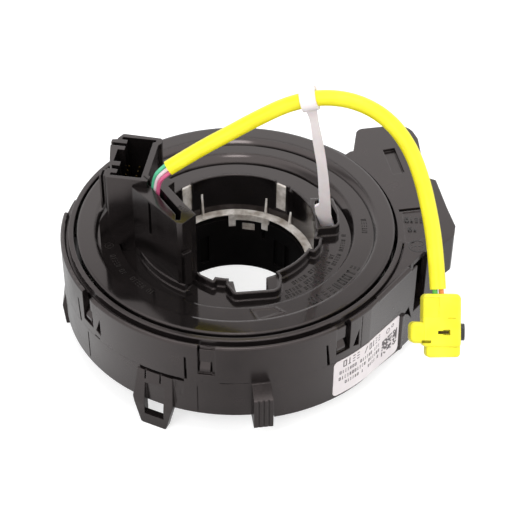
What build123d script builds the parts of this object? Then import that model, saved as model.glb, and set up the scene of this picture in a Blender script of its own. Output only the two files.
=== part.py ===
"""Steering clock spring: the spiral cable unit between a steering column and its wheel.

Frame: millimetres, +Z along the steering axis towards the wheel, origin on the axis in the
plane that the housing seats on. +X points at the side with the column connectors.
"""
import os
from math import atan2, cos, degrees, hypot, pi, radians, sin, tan

from build123d import *

os.makedirs("parts", exist_ok=True)

# ---------------------------------------------------------------- driving dimensions
# Housing (the half that is screwed to the column)
drum_r = 55.0
parting_z = 22.5
skirt = 2.1
bead_z = 36.7
lip_z = 37.5
lip_in_r = 50.8
lip_out_r = 52.5
floor_z = 9.0
floor_thick = 1.8
deep_wall_z = 6.8
upstand_in_r = 51.0
upstand_out_r = 52.7
seat_in_r = 29.4
seat_out_r = 32.5
shaft_gap = 0.4

# Wing with the column connectors
wing_top_z = 36.5
wing_plate = 1.8
wing_low_z = 4.3
shelf_z = 24.0
tangent_deg = -37.0

# Rotor (the half that turns with the wheel)
plate_r = 49.8
plate_z = 37.8
middle_r = 44.2
middle_z = 36.5
inner_r = 37.1
inner_z = 34.3
step_run = 0.6
plate_thick = 1.8
collar_z = 37.1
collar_wall = 0.8
bore_r = 25.1
ledge_z = 22.5
lower_bore_r = 22.3
sleeve_r = 24.4
hub_r = 26.9
flange_z = 8.6
flange_thick = 1.4
flange_r = 28.7
rotor_low_z = 0.0

# Steering-side connector shroud, in its own turned frame
shroud_xy = (-30.5, 0.0)
shroud_turn = -8.6
shroud_z = 62.8
shroud_floor_z = 43.5
shroud_front, shroud_right = -9.9, 6.3

# Wire cover beside the shroud
cover_z = 60.5
cover_low_z = 36.8

# Lead to the airbag
lead_d = 4.6
wire_d = 1.2
lead_route = [
    (-19.6, -12.6, 69.4),
    (-11.0, -10.3, 74.4),
    (-2.1, -8.2, 78.8),
    (6.7, -6.8, 83.8),
    (15.7, -6.2, 88.7),
    (25.4, -6.8, 91.7),
    (35.5, -9.0, 91.6),
    (44.4, -13.0, 88.2),
    (50.5, -18.8, 82.3),
    (53.9, -26.0, 75.9),
    (55.9, -34.1, 70.0),
    (57.2, -42.4, 64.2),
    (57.95, -49.7, 56.25),
]


# ---------------------------------------------------------------- shared helpers
def polar(r, deg):
    """The plane point at radius r and angle deg."""
    return (r * cos(radians(deg)), r * sin(radians(deg)))


def outline(points):
    """A flat face through (x, y) corners; a third number rounds that corner."""
    corners = [(p[0], p[1]) for p in points]
    face = make_face(Polyline(*corners, close=True))
    for p in points:
        if len(p) == 3:
            corner = face.vertices().sort_by_distance((p[0], p[1], 0))[0]
            face = fillet(corner, p[2])
    return face


def turned(points, start=0.0, arc=360.0):
    """A profile of (r, z) corners turned about the steering axis, from angle start."""
    body = revolve(Plane.XZ * outline(points), Axis.Z, arc)
    return Rot(0, 0, start) * body


def slab(face, low, high):
    """A flat face raised from height low to height high."""
    return extrude(Pos(0, 0, low) * face, high - low)


def ring(r_in, r_out, low, high, start=0.0, arc=360.0):
    """A plain ring, or a sector of one."""
    return turned([(r_in, low), (r_out, low), (r_out, high), (r_in, high)], start, arc)


def block(deg, r_in, r_out, width, low, high, aside=0.0):
    """A box that stands on a radius, moved sideways along the tangent by aside."""
    box = Box(r_out - r_in, width, high - low)
    return Rot(0, 0, deg) * Pos((r_in + r_out) / 2, aside, (low + high) / 2) * box


def prism(deg, r_in, r_out, points):
    """A shape of (tangent, z) corners cut or raised along a radius."""
    face = Plane(origin=(r_in, 0, 0), x_dir=(0, 1, 0), z_dir=(1, 0, 0)) * outline(points)
    return Rot(0, 0, deg) * extrude(face, r_out - r_in)


def save(shape, name):
    """Writes one node's STEP file."""
    shape.label = name
    export_step(shape, f"parts/{name}.step")
    return shape


# ---------------------------------------------------------------- housing outline
wall_dir = (cos(radians(tangent_deg + 90)), sin(radians(tangent_deg + 90)))
wall_r = drum_r - 0.2
tangent_xy = polar(wall_r, tangent_deg)
wall_start = -((drum_r**2 - wall_r**2) ** 0.5)


def along_wall(distance):
    """The point on the wing's straight wall, that far past where it leaves the drum."""
    return (
        tangent_xy[0] + wall_dir[0] * distance,
        tangent_xy[1] + wall_dir[1] * distance,
    )


def on_wall(points):
    """Plan corners given as (along the wall, outwards from it[, corner radius])."""
    out = (cos(radians(tangent_deg)), sin(radians(tangent_deg)))
    corners = []
    for along, outwards, *rounding in points:
        x, y = along_wall(along)
        corners.append((x + out[0] * outwards, y + out[1] * outwards, *rounding))
    return corners


def wall_prism(inward, outward, points):
    """A shape of (along the wall, z) corners cut or raised square to the wall."""
    face = Plane(
        origin=polar(wall_r - inward, tangent_deg),
        x_dir=(*wall_dir, 0),
        z_dir=(*polar(1.0, tangent_deg), 0),
    )
    return extrude(face * outline(points), inward + outward)


nose_xy = (69.1, 0.9)


def wing_face(with_nose=True):
    """The wing's plan: the whole of it, or without the shallow nose on its outer side."""
    if with_nose:
        outer = [along_wall(29.0), (64.7, -7.5, 2.0), (68.3, -3.7, 2.5), nose_xy, (67.2, 9.8), (64.7, 23.9, 0.8), (63.4, 24.5)]
    else:
        outer = [(*along_wall(34.6), 2.0), (64.6, 24.0)]
    return outline(
        [
            (10.0, -10.0),
            tangent_xy,
            *outer,
            (61.6, 25.4),
            (60.4, 46.0, 6.0),
            (57.4, 54.2, 6.0),
            (40.0, 51.0, 3.0),
            (38.4, 39.0),
            (10.0, 30.0),
        ]
    )


tab_angles = (-53.6, -98.1, -143.3, 160.0)
front_tab = -98.1
leg_angles = (-114.7, 66.0)
side_leg_deg = 181.8
post_deg = -81.3


def off_wall():
    """The thin sliver of the drum that would stand out past the straight wall's plane."""
    return wall_prism(0.0, 2.0, [(wall_start * 2, 0), (-wall_start * 2, 0), (-wall_start * 2, 45), (wall_start * 2, 45)])


# ---------------------------------------------------------------- housing: cover
notch_low_z, notch_wide, notch_deep = 25.4, 5.2, 0.8
nose_low_z, nose_high_z = 26.3, 30.1
# each tab's open slit: from and to along the tangent, and its lower end
tab_slits = {-53.6: (1.3, 2.6, 25.4), -98.1: (-2.6, -2.1, 30.0), -143.3: (-2.6, 0.2, 25.4), 160.0: (-2.6, -2.1, 30.0)}
recess_low_z = 16.0


def tab_cut(deg):
    """What frees one snap tab: a sunk face up through the bead, its window and slit, and vents."""
    inner, outer = upstand_out_r - 0.1, drum_r + 1.0
    start, end, low = tab_slits[deg]
    cuts = block(deg, drum_r - notch_deep, outer, notch_wide, notch_low_z, bead_z + 1)
    cuts += block(deg, drum_r - 1.6, outer, notch_wide, 35.0, bead_z + 1)
    cuts += block(deg, inner, outer, end - start, low, bead_z + 1, (start + end) / 2)
    cuts += block(deg, inner, outer, 4.2, 25.9, 30.3, -0.4)
    if deg == front_tab:
        return cuts + prism(deg, inner, outer, [(-6.7, 21.9), (-5.9, 21.9), (-5.9, 31.5), (-6.7, 31.5)])
    cuts += prism(deg, inner, outer, [(4.0, 25.4), (6.3, 24.6), (6.2, 31.3)])
    return cuts + prism(deg, inner, outer, [(-6.3, 31.3), (-5.6, 31.3), (-4.6, 22.4), (-5.6, 22.4)])


def cover_ring():
    """The upper housing half: skirt, bead, valley and lip, and the wing's roof."""
    low = parting_z
    ring_body = turned(
        [
            (drum_r - skirt, low),
            (drum_r, low),
            (drum_r, bead_z, 0.75),
            (drum_r - 1.4, bead_z, 0.5),
            (drum_r - 1.7, bead_z - 1.5),
            (lip_out_r, bead_z - 1.5),
            (lip_out_r, lip_z, 0.3),
            (lip_in_r, lip_z, 0.3),
            (lip_in_r, bead_z - 2.8),
            (drum_r - skirt, bead_z - 2.8),
        ]
    )
    # at the wing the bead leaves the drum, and past its middle the roof is flat up to the rotor
    ring_body -= ring(lip_out_r + 0.6, drum_r + 1, bead_z - 2.9, lip_z + 1, tangent_deg, -8 - tangent_deg)
    ring_body -= ring(lip_in_r - 1, drum_r + 1, bead_z - 2.9, lip_z + 1, -8, 56)
    # the far side has no bead: the skirt stops low there, and the lip ends past the leads
    ring_body -= ring(lip_in_r - 1, drum_r + 1, 33.0, lip_z + 1, 46, 81)
    ring_body -= ring(drum_r - 1.5, drum_r + 1, 33.0, lip_z + 1, 127, 47)
    ring_body -= ring(lip_out_r - 0.05, drum_r - 1.4, 35.1, lip_z + 1, 127, 47)
    ring_body -= off_wall()
    drum_hole = Circle(drum_r - 0.3)
    roof = slab(wing_face() - Circle(lip_in_r), wing_top_z - wing_plate, wing_top_z)
    roof -= ring(lip_in_r - 1, drum_r + 2, wing_top_z - 2, wing_top_z + 1, 46, 360 + tangent_deg - 46)
    roof -= ring(lip_in_r - 1, lip_out_r + 0.5, wing_top_z - 2, wing_top_z + 1, tangent_deg, -8 - tangent_deg)
    wall_face = wing_face() - offset(wing_face(), -2.0) - drum_hole
    wall = slab(wall_face, shelf_z - 1.5, wing_top_z)
    front = slab(wing_face() - drum_hole, parting_z, wing_top_z)
    front &= wall_prism(2.1, 3.0, [(-4, 21), (40, 21), (40, 38), (-4, 38)])
    nose = wing_face() - wing_face(with_nose=False) - drum_hole
    belly = slab(nose, shelf_z, wing_top_z)
    x, y = nose_xy
    belly -= Pos(x + 0.6, y + 10, shelf_z) * Rot(0, 0, 11) * Rot(0, 45, 0) * Box(5, 50, 5)
    # the bead runs on along the straight wall
    bead_section = outline(
        [(-1.6, 35.2), (-1.6, 36.5), (-1.2, 36.75), (-0.7, 36.8), (-0.25, 36.65), (0.08, 36.2), (0.08, 35.7), (-0.1, 35.2)]
    )
    bead_end = Plane(origin=(*along_wall(17.0), 0), x_dir=(*polar(1.0, tangent_deg), 0), z_dir=(-wall_dir[0], -wall_dir[1], 0))
    bead = extrude(bead_end * bead_section, 17.4)
    body = ring_body + roof + wall + front + belly + bead
    # the opening of the drum under the wing's roof stays clear
    body -= Pos(0, 0, 27.0) * Cylinder(upstand_out_r + 0.1, 15.0)
    # pocket, slot and stepped panel in the roof
    body -= slab(
        outline([(48.2, 39.7), (52.2, 40.9), (54.8, 27.9), (50.9, 26.7)]),
        wing_top_z - 1.1,
        wing_top_z + 1,
    )
    body -= slab(outline([(51.8, 7.6), (61.5, 9.4), (61.3, 10.6), (51.6, 8.9)]), 30, 40)
    body -= slab(outline([(52.8, 7.4), (62.6, 9.2), (64.4, -1.0), (54.8, -7.6), (52.9, -6.6)]), wing_top_z - 0.3, 40)
    for angle in tab_angles:
        body -= tab_cut(angle)
    # snap recess in the straight wall, with its L-shaped end in the roof
    body -= wall_prism(1.5, 2.0, [(20.3, 21), (26.2, 21), (26.2, 40), (20.3, 40)])
    body -= wall_prism(3.4, 2.0, [(20.3, 21), (26.2, 21), (26.2, 34.6), (20.3, 34.6)])
    body -= slab(outline(on_wall([(16.9, -1.4), (22.0, -1.4), (22.0, -0.45), (16.9, -0.45)])), 31.0, 40)
    body -= slab(outline(on_wall([(17.2, -1.3), (22.0, -1.3), (22.0, 1.0), (17.2, 1.0)])), 35.5, 40)
    # fine panel line and the gap where the tab by the middle snaps
    body -= block(-46.0, drum_r - 0.2, drum_r + 1, 0.3, 23.0, bead_z - 1.0)
    body -= block(-138.7, drum_r - 0.8, drum_r + 1, 2.4, 22.6, 23.1)
    return body


# ---------------------------------------------------------------- housing: lower case
leg_out_r = 56.8
leg_half_top, leg_half_mid, leg_half_low = 6.2, 6.8, 4.2
leg_top_z = 21.2
socket_main = (57.6, 9.0, 8.6, 22.0, -11.0)
socket_small = (51.6, 36.5, 8.6, 10.0, -11.0)
socket_top_z = 18.5


def snap_nose(deg):
    """The ramped nose that a snap tab's window drops over."""
    wide = 3.2
    ramp = Plane.XZ * outline(
        [
            (upstand_out_r - 0.4, nose_low_z),
            (drum_r - 0.5, nose_low_z),
            (drum_r - 0.5, nose_low_z + 1.0),
            (upstand_out_r + 0.1, nose_high_z),
            (upstand_out_r - 0.4, nose_high_z),
        ]
    )
    return Rot(0, 0, deg) * Pos(0, wide / 2 - 0.5, 0) * extrude(ramp, wide)


def leg(deg):
    """A loop clip: a tapered plate with a window, leaning out of the drum's wall."""
    shape = prism(
        deg,
        drum_r - 0.6,
        leg_out_r,
        [
            (-leg_half_top, leg_top_z),
            (-leg_half_mid - 0.7, 10.0),
            (-leg_half_low - 0.7, 0.0, 0.8),
            (leg_half_low - 0.7, 0.0, 0.8),
            (leg_half_mid - 0.8, 10.0),
            (leg_half_top - 0.7, leg_top_z),
        ],
    )
    lean = Plane.XZ * outline([(drum_r, leg_top_z), (leg_out_r, 8.0), (60.0, 8.0), (60.0, 23.0), (drum_r, 23.0)])
    shape -= Rot(0, 0, deg) * Pos(0, 12, 0) * extrude(lean, 24)
    return shape - prism(deg, drum_r - 2, leg_out_r + 1, [(-3.6, 4.0), (2.9, 4.0), (2.9, 16.6), (-3.6, 16.6)])


def leg_marks(deg):
    """The slot over a leg's root, the ticks below it and the slit beside it."""
    cuts = block(deg, drum_r - 1.7, drum_r + 0.3, 14.4, parting_z - 1.3, parting_z + 1, 1.8)
    for aside in (-3.5, 1.5, 6.5):
        cuts += block(deg, drum_r - 0.5, drum_r + 2, 0.5, 17.9, parting_z, aside)
    cuts += prism(deg, drum_r - 0.7, drum_r + 2, [(9.5, 21.8), (10.4, 21.8), (8.4, 15.2), (7.5, 15.5)])
    return cuts + block(deg, drum_r - 0.5, drum_r + 1, 3.0, parting_z - 0.7, parting_z + 1, 11.3)


def side_leg():
    """The short clip at the drum's left, thick and leaning in towards its lower end."""
    width = 10.0
    profile = Plane.XZ * outline([(53.0, 0.0), (55.5, 0.0), (56.2, 8.0), (54.9, 13.0), (53.2, 13.0)])
    shape = Rot(0, 0, side_leg_deg) * Pos(0, width / 2, 0) * extrude(profile, width)
    return shape - block(side_leg_deg, 50, 60, 5.4, 2.6, 7.6)


def socket_space(spec):
    """The space inside one column-side socket, open downwards."""
    x, y, width, length, turn = spec
    return Pos(x, y, socket_top_z / 2) * Rot(0, 0, turn) * Box(width, length, socket_top_z)


def lower_case():
    """The lower housing half: floor, drum wall, seat collar, legs, post and sockets."""
    body = turned(
        [
            (hub_r + shaft_gap, floor_z),
            (seat_in_r, floor_z),
            (seat_in_r, 0.0),
            (seat_out_r, 0.0),
            (seat_out_r, floor_z),
            (drum_r - skirt, floor_z),
            (drum_r - skirt, deep_wall_z),
            (drum_r, deep_wall_z),
            (drum_r, parting_z),
            (upstand_out_r, parting_z),
            (upstand_out_r, 32.4),
            (upstand_in_r, 32.4),
            (upstand_in_r, floor_z + floor_thick),
            (hub_r + shaft_gap, floor_z + floor_thick),
        ]
    )
    # the wall is deepest towards the wing and shallower round the rest
    body -= ring(drum_r - 4, drum_r + 2, deep_wall_z - 1, floor_z - 0.1, 62, 221)
    # wing: the connector block behind the straight wall
    block_face = wing_face(with_nose=False) - Circle(drum_r - 0.7)
    body += slab(block_face, wing_low_z, parting_z)
    tongue = slab(offset(wing_face(with_nose=False), -2.3), parting_z - 1, shelf_z - 1.5)
    body += tongue & (Pos(67.5, 18, 22) * Box(20, 60, 4))
    body -= off_wall()
    # its lower edge slopes down from the drum's
    body -= wall_prism(8.0, 1.0, [(-1.5, 3.0), (13.0, 3.0), (13.0, wing_low_z), (-1.5, deep_wall_z)])
    for spec in (socket_main, socket_small):
        body -= socket_space(spec)
    for angle in leg_angles:
        body += leg(angle)
        body -= leg_marks(angle)
    body += side_leg()
    body += prism_post()
    for angle in tab_angles:
        body += snap_nose(angle)
    # rounded rib beside the label's place, the snap recess, and the sink beside it
    body += slab(
        outline(on_wall([(12.7, -0.8), (12.7, 0.1), (13.2, 0.7), (14.4, 0.7), (14.9, 0.1), (14.9, -0.8)])),
        5.0,
        19.6,
    )
    body -= wall_prism(4.0, 2.0, [(20.3, recess_low_z), (26.2, recess_low_z), (26.2, 23), (20.3, 23)])
    body -= wall_prism(1.4, 2.0, [(14.95, 18.9), (17.4, 20.4), (19.6, 13.8), (17.4, 17.0)])
    # fine seams on the wall
    body -= block(-144.2, drum_r - 0.6, drum_r + 1, 0.5, 10.4, 21.0)
    body -= block(-101.0, drum_r - 0.3, drum_r + 1, 0.3, 9.6, 20.4)
    body -= block(-91.9, drum_r - 0.5, drum_r + 1, 4.0, parting_z - 0.4, parting_z + 1)
    body -= block(-87.6, drum_r - 0.4, drum_r + 1, 5.4, parting_z - 0.2, parting_z + 1)
    return body


def prism_post():
    """The square post that stands out from the wall and keys the housing."""
    post_face = Plane.XZ * outline(
        [(drum_r - 1.0, 9.2), (61.0, 9.2, 0.6), (61.0, 20.6, 0.6), (drum_r - 1.0, 22.3)]
    )
    post = Rot(0, 0, post_deg) * Pos(0, 2.9, 0) * extrude(post_face, 5.8)
    for aside in (-1.5, 0.0, 1.5):
        post -= block(post_deg, 60.6, 62.0, 0.5, 8.0, 21.5, aside)
    return post


def column_pins():
    """Eight terminals in the main column socket."""
    x, y, _, _, turn = socket_main
    pins = [
        Pos(x, y, socket_top_z - 4.5) * Rot(0, 0, turn) * Pos(across, row * 4.4, 0) * pin_body(0.64, 9.0)
        for across in (-1.9, 1.9)
        for row in (-1.5, -0.5, 0.5, 1.5)
    ]
    return Compound(children=pins)


def column_airbag_pins():
    """Two terminals in the small column socket."""
    x, y, _, _, turn = socket_small
    pins = [
        Pos(x, y, socket_top_z - 4.5) * Rot(0, 0, turn) * Pos(0, aside, 0) * pin_body(1.0, 9.0)
        for aside in (-2.0, 2.0)
    ]
    return Compound(children=pins)


def pin_body(side, length):
    """A square terminal pin with a chamfered lower tip, its top end set in the moulding."""
    pin = Box(side, side, length)
    return chamfer(pin.faces().sort_by(Axis.Z)[0].edges(), side * 0.25)


# ---------------------------------------------------------------- inside the drum
ribbon_low_z, ribbon_high_z = 11.2, 27.8
ribbon_thick = 0.45
ribbon_in_r = 29.6
ribbon_pitch = 4.0
ribbon_half_turns = 11


def ribbon_cable():
    """The flat cable: a loose spiral of half circles between hub and wall."""
    edges = []
    radius = ribbon_in_r
    centre = 0.0
    ends = []
    for turn in range(ribbon_half_turns):
        side = 1 if turn % 2 == 0 else -1
        for half, store in ((ribbon_thick / 2, 0), (-ribbon_thick / 2, 1)):
            r = radius + half
            arc = ThreePointArc(
                (centre + side * r, 0), (centre, side * r), (centre - side * r, 0)
            )
            edges.append(arc)
            if turn in (0, ribbon_half_turns - 1):
                ends.append((arc @ 0, arc @ 1))
        radius += ribbon_pitch / 2
        centre += side * ribbon_pitch / 2
    edges.append(Line(ends[0][0], ends[1][0]))
    edges.append(Line(ends[2][1], ends[3][1]))
    return slab(make_face(edges), ribbon_low_z, ribbon_high_z)


def slide_sheet(low):
    """A thin low-friction sheet that the flat cable's edge runs on."""
    return ring(hub_r + 0.8, upstand_in_r - 0.4, low, low + 0.4)


def rotor_block():
    """The moulded end of the flat cable at the hub, which carries its bus bars."""
    return ring(hub_r + 0.02, hub_r + 2.4, ribbon_low_z, 28.2, -34, 34)


def housing_block():
    """The moulded end of the flat cable at the wall."""
    return ring(upstand_in_r - 1.9, upstand_in_r, ribbon_low_z, 31.4, 180, 34)


# ---------------------------------------------------------------- rotor
arm_angles = (55.5, 129.9)
arm_wide = 3.9
pocket_front = [
    (11.9, -20.6),
    (13.5, -23.8, 1.5),
    (13.3, -29.5, 2.3),
    (0.4, -31.1, 0.9),
    (-1.8, -27.5, 1.2),
    (-1.6, -20.6),
]
pocket_deep = [
    (11.2, -20.0),
    (9.6, -23.6),
    (10.2, -29.3),
    (0.7, -30.5),
    (0.2, -28.2),
    (-0.5, -24.4),
    (-1.5, -23.0),
]
step_pocket = [(-5.4, -20.6), (-5.7, -23.9), (-6.5, -25.9), (-10.4, -23.3), (-10.6, -20.6)]
small_pocket = [(21.0, -6.0), (26.2, -6.1), (25.6, -9.4), (24.2, -11.6), (21.5, -10.2)]
strap_pocket = [
    (24.9, 10.3),
    (25.2, 11.4),
    (26.3, 11.7),
    (29.6, 11.6),
    (30.7, 8.0),
    (31.8, 4.8),
    (31.9, 0.9),
    (31.3, -0.5),
    (27.0, -1.4),
    (26.2, -0.4),
    (25.4, 2.4),
    (25.0, 5.6),
]
strap_walls = [
    (23.5, -2.7),
    (25.3, -2.4),
    (27.0, -2.0),
    (31.4, -1.3, 0.5),
    (32.5, 0.2, 0.5),
    (32.4, 6.0),
    (30.8, 12.6, 0.8),
    (23.5, 12.6),
]
strap_pocket_z = 37.8
collar_low_z = 28.3
low_wall_r = 31.8


def rotor_plate():
    """The rotor's top: stepped plate, collar with pockets, and the hub tube below it."""
    under = plate_thick
    core = bore_r - 3.0
    body = turned(
        [
            (core, inner_z),
            (inner_r - step_run, inner_z),
            (inner_r, middle_z),
            (middle_r - step_run, middle_z),
            (middle_r, plate_z),
            (plate_r, plate_z, 0.3),
            (plate_r, plate_z - under),
            (middle_r + 0.4, plate_z - under),
            (middle_r - step_run + 0.4, middle_z - under),
            (inner_r + 0.4, middle_z - under),
            (inner_r - step_run + 0.4, inner_z - under),
            (hub_r, inner_z - under),
            (hub_r, flange_z),
            (core, flange_z),
        ]
    )
    collar = Circle(bore_r + collar_wall)
    for pocket in (pocket_front, step_pocket, small_pocket):
        collar += offset(outline(pocket), collar_wall)
    body += slab(collar, collar_low_z, collar_z)
    body += slab(outline(strap_walls), collar_low_z, strap_pocket_z)
    # low curved wall that the wire cover stands on
    body += ring(bore_r, low_wall_r, inner_z - 0.5, cover_low_z, 180, 62)
    body += arrow_mark()
    body -= slab(Circle(sleeve_r + 0.05), 0, 50)
    body -= slab(Circle(bore_r), ledge_z - 1.5, 50)
    # the front pocket has a shallow shelf at each side of its deep middle
    body -= slab(outline(pocket_front), collar_z - 1.2, 50)
    for pocket in (pocket_deep, step_pocket, small_pocket):
        body -= slab(outline(pocket), collar_low_z + 1.2, 50)
    body -= slab(outline(strap_pocket) - Circle(bore_r + 0.6), collar_low_z + 1.2, 50)
    # the index ring's arms stand in pockets of the wall, seen through windows and rim notches
    for angle in arm_angles:
        body -= ring(bore_r - 1, bore_r + 1.3, inner_z - 0.6, 45, angle - 4.6, 9.3)
        body -= block(angle, bore_r + 0.35, bore_r + 1.25, arm_wide + 0.2, ledge_z - 1.7, 36)
        body -= block(angle, bore_r - 1, bore_r + 0.5, arm_wide, 25.9, 35.1)
        body -= block(angle, bore_r - 0.4, bore_r + 0.5, arm_wide + 0.2, ledge_z - 1.7, ledge_z + 0.1)
    body -= ring(bore_r - 1, bore_r + 1.3, inner_z + 1.4, 45, 45.5, 2.6)
    return body


def arrow_mark():
    """A plain raised outline of an arrow head that shows the centred position."""
    outer = outline([(4.8, -37.8), (12.2, -36.8), (15.2, -39.2), (7.1, -43.0)])
    inner = offset(outer, -0.45, kind=Kind.INTERSECTION)
    return slab(outer - inner, middle_z - 0.1, middle_z + 0.3)


ribs = ((117.5, 31.0), (67.5, 28.7), (45.6, 27.4), (-40.0, 28.0), (-150.0, 28.0))
prong_angles = (94.4, 66.3)
hook_deg = 80.6
sleeve_top_z = 20.3


def index_ring():
    """The pale ring inside the bore: thin lip, gussets, two upright arms, prongs and hook."""
    low = ledge_z - 1.5
    out = bore_r - 0.02
    body = turned(
        [
            (lower_bore_r + 0.1, ledge_z - 0.5),
            (sleeve_r + 0.1, ledge_z - 0.5),
            (sleeve_r + 0.1, low),
            (out, low),
            (out, ledge_z),
            (lower_bore_r + 0.1, ledge_z, 0.2),
        ]
    )
    for angle, top in ribs:
        rib = Plane.XZ * outline([(out, ledge_z - 0.2), (out - 1.1, ledge_z - 0.2), (out, top)])
        body += Rot(0, 0, angle) * Pos(0, 0.35, 0) * extrude(rib, 0.7)
    for angle in arm_angles:
        body += block(angle, bore_r + 0.4, bore_r + 1.2, arm_wide, low, inner_z + 1.4)
        body += block(angle, bore_r - 0.35, bore_r + 0.5, arm_wide, low, ledge_z - 0.02)
    # skirt between the prongs, and the hook that clips under the sleeve's tab
    body += ring(lower_bore_r + 0.1, lower_bore_r + 0.9, 20.0, ledge_z - 0.4, 62.5, 34.9)
    for angle in prong_angles:
        body += block(angle, lower_bore_r + 0.2, sleeve_r - 0.1, 2.3, 17.2, ledge_z - 0.4)
    body += block(hook_deg, lower_bore_r + 0.2, sleeve_r - 0.1, 4.1, 16.0, 18.8)
    body += block(hook_deg, lower_bore_r + 1.1, sleeve_r - 0.1, 4.1, 18.7, ledge_z - 0.4)
    return body


def hub_sleeve():
    """The lower rotor piece: a lining tube whose flange keeps the rotor in the housing."""
    top = sleeve_top_z
    body = turned(
        [
            (lower_bore_r, rotor_low_z),
            (sleeve_r, rotor_low_z),
            (sleeve_r, flange_z - flange_thick),
            (flange_r, flange_z - flange_thick),
            (flange_r, flange_z),
            (sleeve_r, flange_z),
            (sleeve_r, top),
            (lower_bore_r, top),
        ]
    )
    body -= ring(lower_bore_r - 1, sleeve_r + 1, 19.9, top + 1, 62.3, 35.3)
    for angle in prong_angles:
        body -= block(angle, lower_bore_r - 1, sleeve_r + 1, 2.5, 17.0, top + 1)
    body -= block(hook_deg, lower_bore_r + 1.0, sleeve_r + 1, 4.3, 15.8, top + 1)
    body -= block(hook_deg, lower_bore_r - 1, sleeve_r + 1, 4.3, 15.8, 19.0)
    body -= block(66.9, lower_bore_r - 1, lower_bore_r + 1.2, 1.0, 13.4, 17.1)
    # shallow key grooves down the bore
    for angle, width in ((52.0, 3.9), (42.0, 2.4), (119.5, 3.4), (-60.0, 3.9), (-128.0, 3.4)):
        body -= block(angle, lower_bore_r - 1, lower_bore_r + 0.8, width, 3.4, 14.8)
    return body


# ---------------------------------------------------------------- steering connector
def in_shroud(shape):
    """Places a shape from the shroud's own turned frame into the part's frame."""
    return Pos(shroud_xy[0], shroud_xy[1], 0) * Rot(0, 0, shroud_turn) * shape


def base_of(face, top):
    """Extends a face down to the stepped plate without entering it."""
    column = slab(face, inner_z, top)
    column -= ring(inner_r - step_run, 60, 0, middle_z)
    column -= ring(middle_r - step_run, 60, 0, plate_z)
    column -= Pos(0, 0, 30) * Cylinder(bore_r + collar_wall, 2 * (collar_z - 30))
    column -= ring(bore_r, low_wall_r, 0, cover_low_z, 180, 62)
    return column


shroud_walls = [
    (-6.8, -9.9, 0.5),
    (5.8, -9.9, 0.4),
    (6.3, -7.6),
    (5.5, -6.9),
    (5.5, 7.9),
    (6.3, 9.0),
    (6.2, 11.4, 0.8),
    (-6.2, 11.9, 0.9),
    (-7.4, 9.6),
    (-7.5, 8.95),
    (-9.1, 8.6, 0.3),
    (-9.1, 7.0),
    (-8.8, 4.6),
    (-8.2, 1.5),
    (-7.45, -2.0),
    (-6.9, -3.9),
    (-6.4, -5.55),
    (-7.4, -5.6),
    (-7.4, -9.2),
]
shroud_cavity = [
    (-5.9, -8.6),
    (3.7, -8.6),
    (3.7, 8.9),
    (4.5, 9.3),
    (4.5, 10.3),
    (-6.1, 10.3),
    (-6.1, 8.95),
    (-4.25, 8.95),
    (-4.25, 7.2),
    (-10.0, 7.2),
    (-10.0, 5.8),
    (-4.25, 5.8),
    (-4.25, 4.0),
    (-6.3, 4.0),
    (-6.3, -1.85),
    (-4.0, -1.85),
    (-4.0, -3.85),
    (-6.4, -3.85),
    (-5.9, -5.6),
    (-4.1, -5.6),
    (-4.1, -7.4),
    (-5.9, -7.4),
]


def connector_shroud():
    """The open-topped plug housing, keyed by fingers on its left side."""
    body = base_of(in_shroud(outline(shroud_walls)), shroud_z)
    body -= in_shroud(slab(outline(shroud_cavity), shroud_floor_z, shroud_z + 1))
    # twin rib down the front left corner, ending on a bevelled foot
    rib = Pos(-8.2, -7.3, 56.0) * Box(2.0, 3.0, 12.8) - Pos(-8.25, -7.7, 56.0) * Box(0.7, 3.0, 14.0)
    body += in_shroud(rib)
    bevel = Plane.XZ * outline([(-6.8, 44.0), (-10.0, 44.0), (-10.0, 44.6), (-9.1, 46.4), (-7.2, 49.6), (-6.8, 49.6)])
    body += in_shroud(Pos(0, -5.8, 0) * extrude(bevel, 4.0))
    body += base_of(in_shroud(Pos(-8.4, -7.8) * Rectangle(3.2, 4.0)), 44.1)
    # seam across the corner that meets the wire cover
    body -= in_shroud(Pos(5.3, -8.5, 61.8) * Rot(0, 0, -41) * Box(2.8, 0.35, 2.6))
    return body


def steering_pins():
    """Fourteen terminals standing in the shroud, in two rows."""
    pins = []
    for across in (-3.7, -0.4):
        for row in range(7):
            pin = Box(0.5, 0.5, 11.3)
            pin = chamfer(pin.faces().sort_by(Axis.Z)[-1].edges(), 0.12)
            place = Pos(across, (row - 3) * 2.2, shroud_floor_z + 5.65)
            pins.append(in_shroud(place * pin))
    return Compound(children=pins)


# ---------------------------------------------------------------- wire cover
cover_corners = [
    (-30.9, -9.4),
    (-30.9, -10.6),
    (-16.7, -27.0, 0.6),
    (-15.0, -27.3, 0.5),
    (-12.6, -24.4),
    (-11.3, -23.1),
    (-11.4, -22.8),
    (-14.5, -18.7),
    (-20.1, -10.0),
    (-18.3, -7.9),
    (-21.3, -4.7),
    (-24.6, -5.0),
]
slot_start, slot_end = (-26.05, -7.2), (-16.35, -22.6)
slot_width, slot_low_z = 2.1, 44.0


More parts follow.
